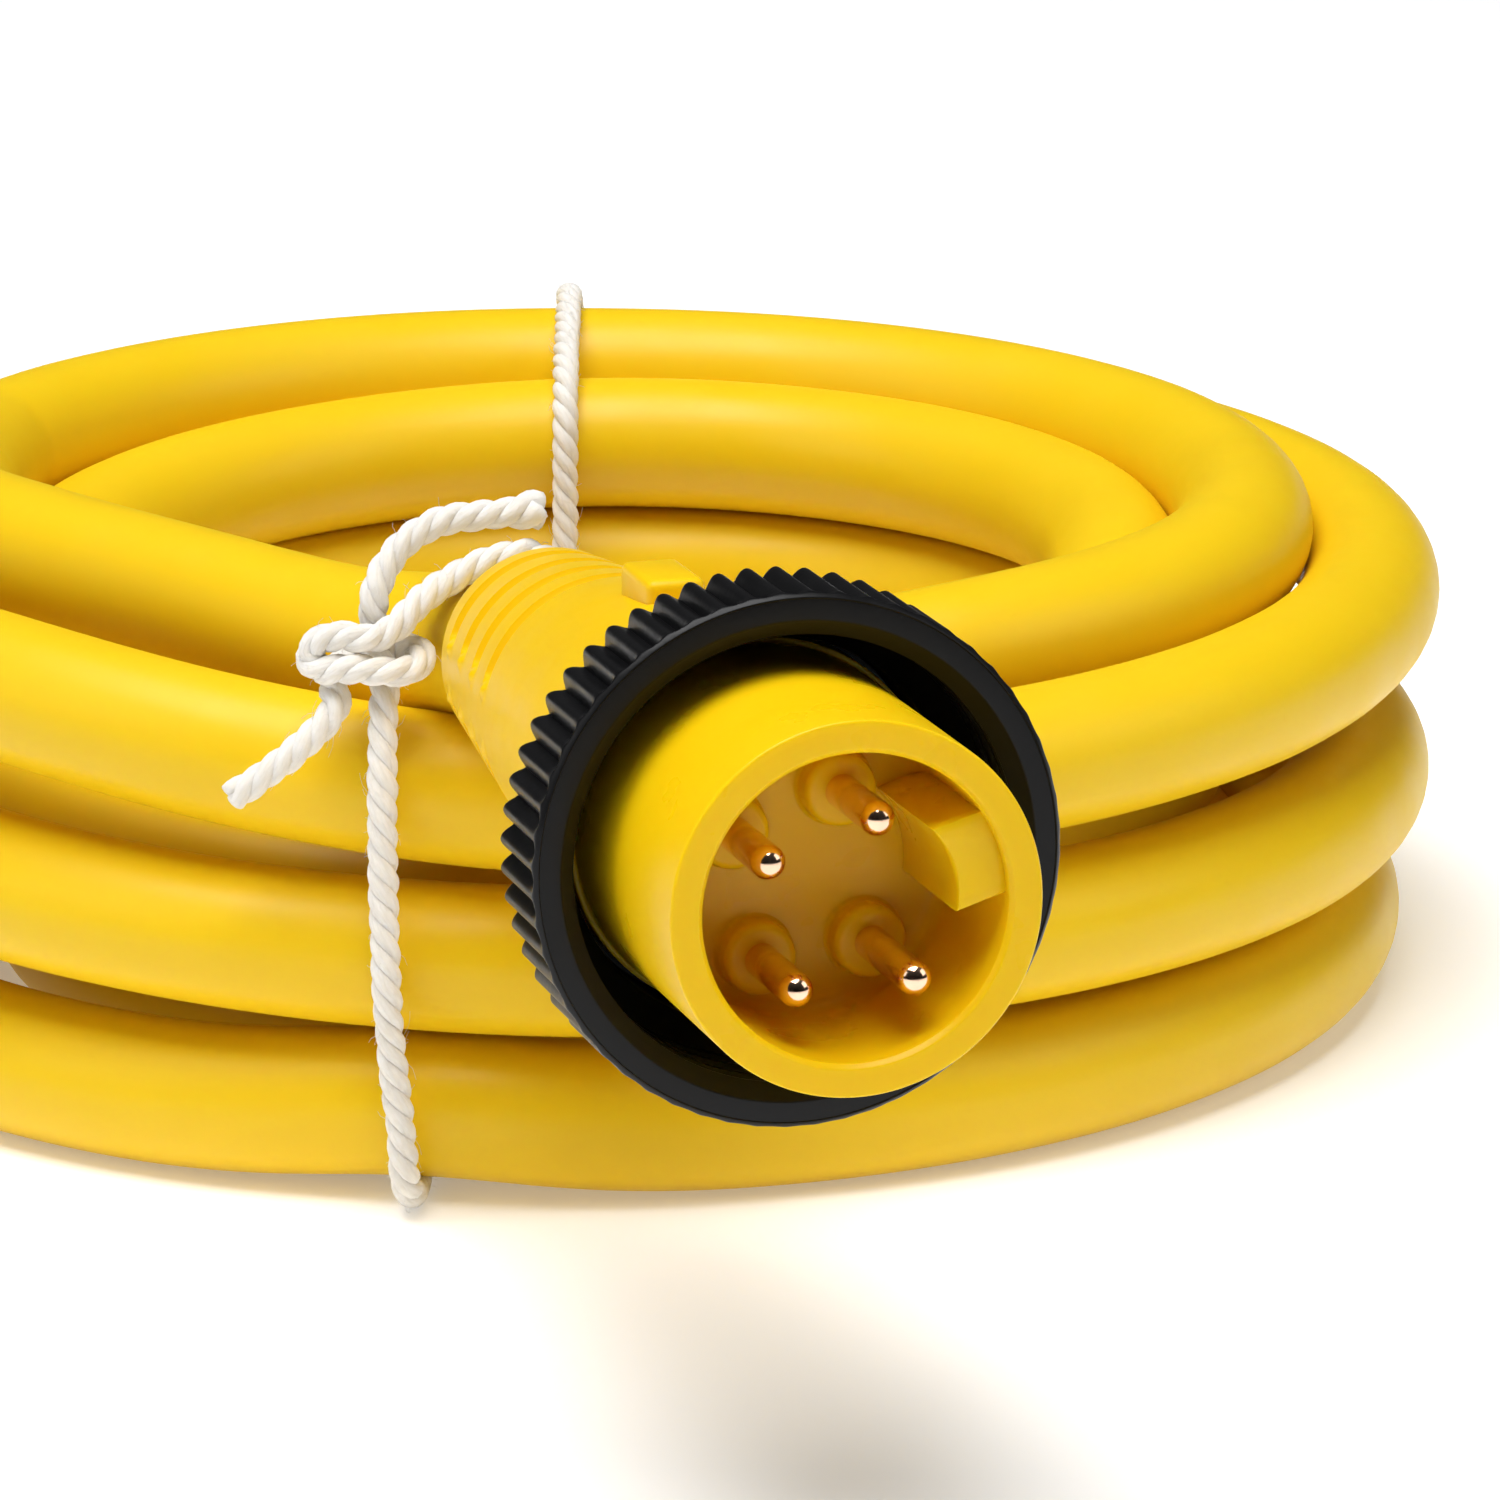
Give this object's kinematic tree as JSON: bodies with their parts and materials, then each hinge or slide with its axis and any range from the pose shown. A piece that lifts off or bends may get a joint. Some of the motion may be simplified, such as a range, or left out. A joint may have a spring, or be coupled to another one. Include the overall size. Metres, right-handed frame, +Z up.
{
  "type": "moulded cordset with circular connector",
  "caption": "Coiled moulded power cordset: cable wound flat and tied with string, with a male circular plug whose ribbed coupling nut turns about the contact barrel.",
  "frame": {"origin": "middle of the whole object's footprint, on the ground", "axes": "+Z up, -Y towards the plug's mating end, +X to the right seen from the plug's end"},
  "size_m": [0.0974, 0.1559, 0.0449],
  "materials": {
    "cable_jacket": "satin moulded jacket, warm yellow",
    "moulded_yellow": "satin overmoulding, warm yellow",
    "nut_black": "black satin coating",
    "plated_contact": "polished pinkish gold plating",
    "bare_copper": "bare stranded copper",
    "cotton_string": "twisted off-white cotton",
    "inner_plastic": "natural moulded plastic",
    "wire_black": "extruded insulation",
    "wire_white": "extruded insulation",
    "wire_red": "extruded insulation",
    "wire_green": "extruded insulation"
  },
  "bodies": {
    "cordset": {"back_tie": "cotton_string", "cable_coil": "cable_jacket", "cable_lead": "cable_jacket", "cable_tail": "cable_jacket", "conductor_black": "wire_black", "conductor_green": "wire_green", "conductor_red": "wire_red", "conductor_white": "wire_white", "contact_insert": "moulded_yellow", "contact_pin_1": "plated_contact", "contact_pin_2": "plated_contact", "contact_pin_3": "plated_contact", "contact_retainer": "inner_plastic", "front_tie": "cotton_string", "ground_pin": "plated_contact", "overmould_body": "moulded_yellow", "strands_black": "bare_copper", "strands_green": "bare_copper", "strands_red": "bare_copper", "strands_white": "bare_copper", "tail_black": "wire_black", "tail_green": "wire_green", "tail_red": "wire_red", "tail_strands_black": "bare_copper", "tail_strands_green": "bare_copper", "tail_strands_red": "bare_copper", "tail_strands_white": "bare_copper", "tail_white": "wire_white"},
    "nut": {"coupling_nut": "nut_black"}
  },
  "joints": [
    {"name": "nut_spin", "type": "hinge", "parent": "cordset", "child": "nut", "pos_m": [0.01181, -0.06697, 0.03244], "axis": [0.2755, -0.9606, 0.0366], "continuous": true}
  ]
}
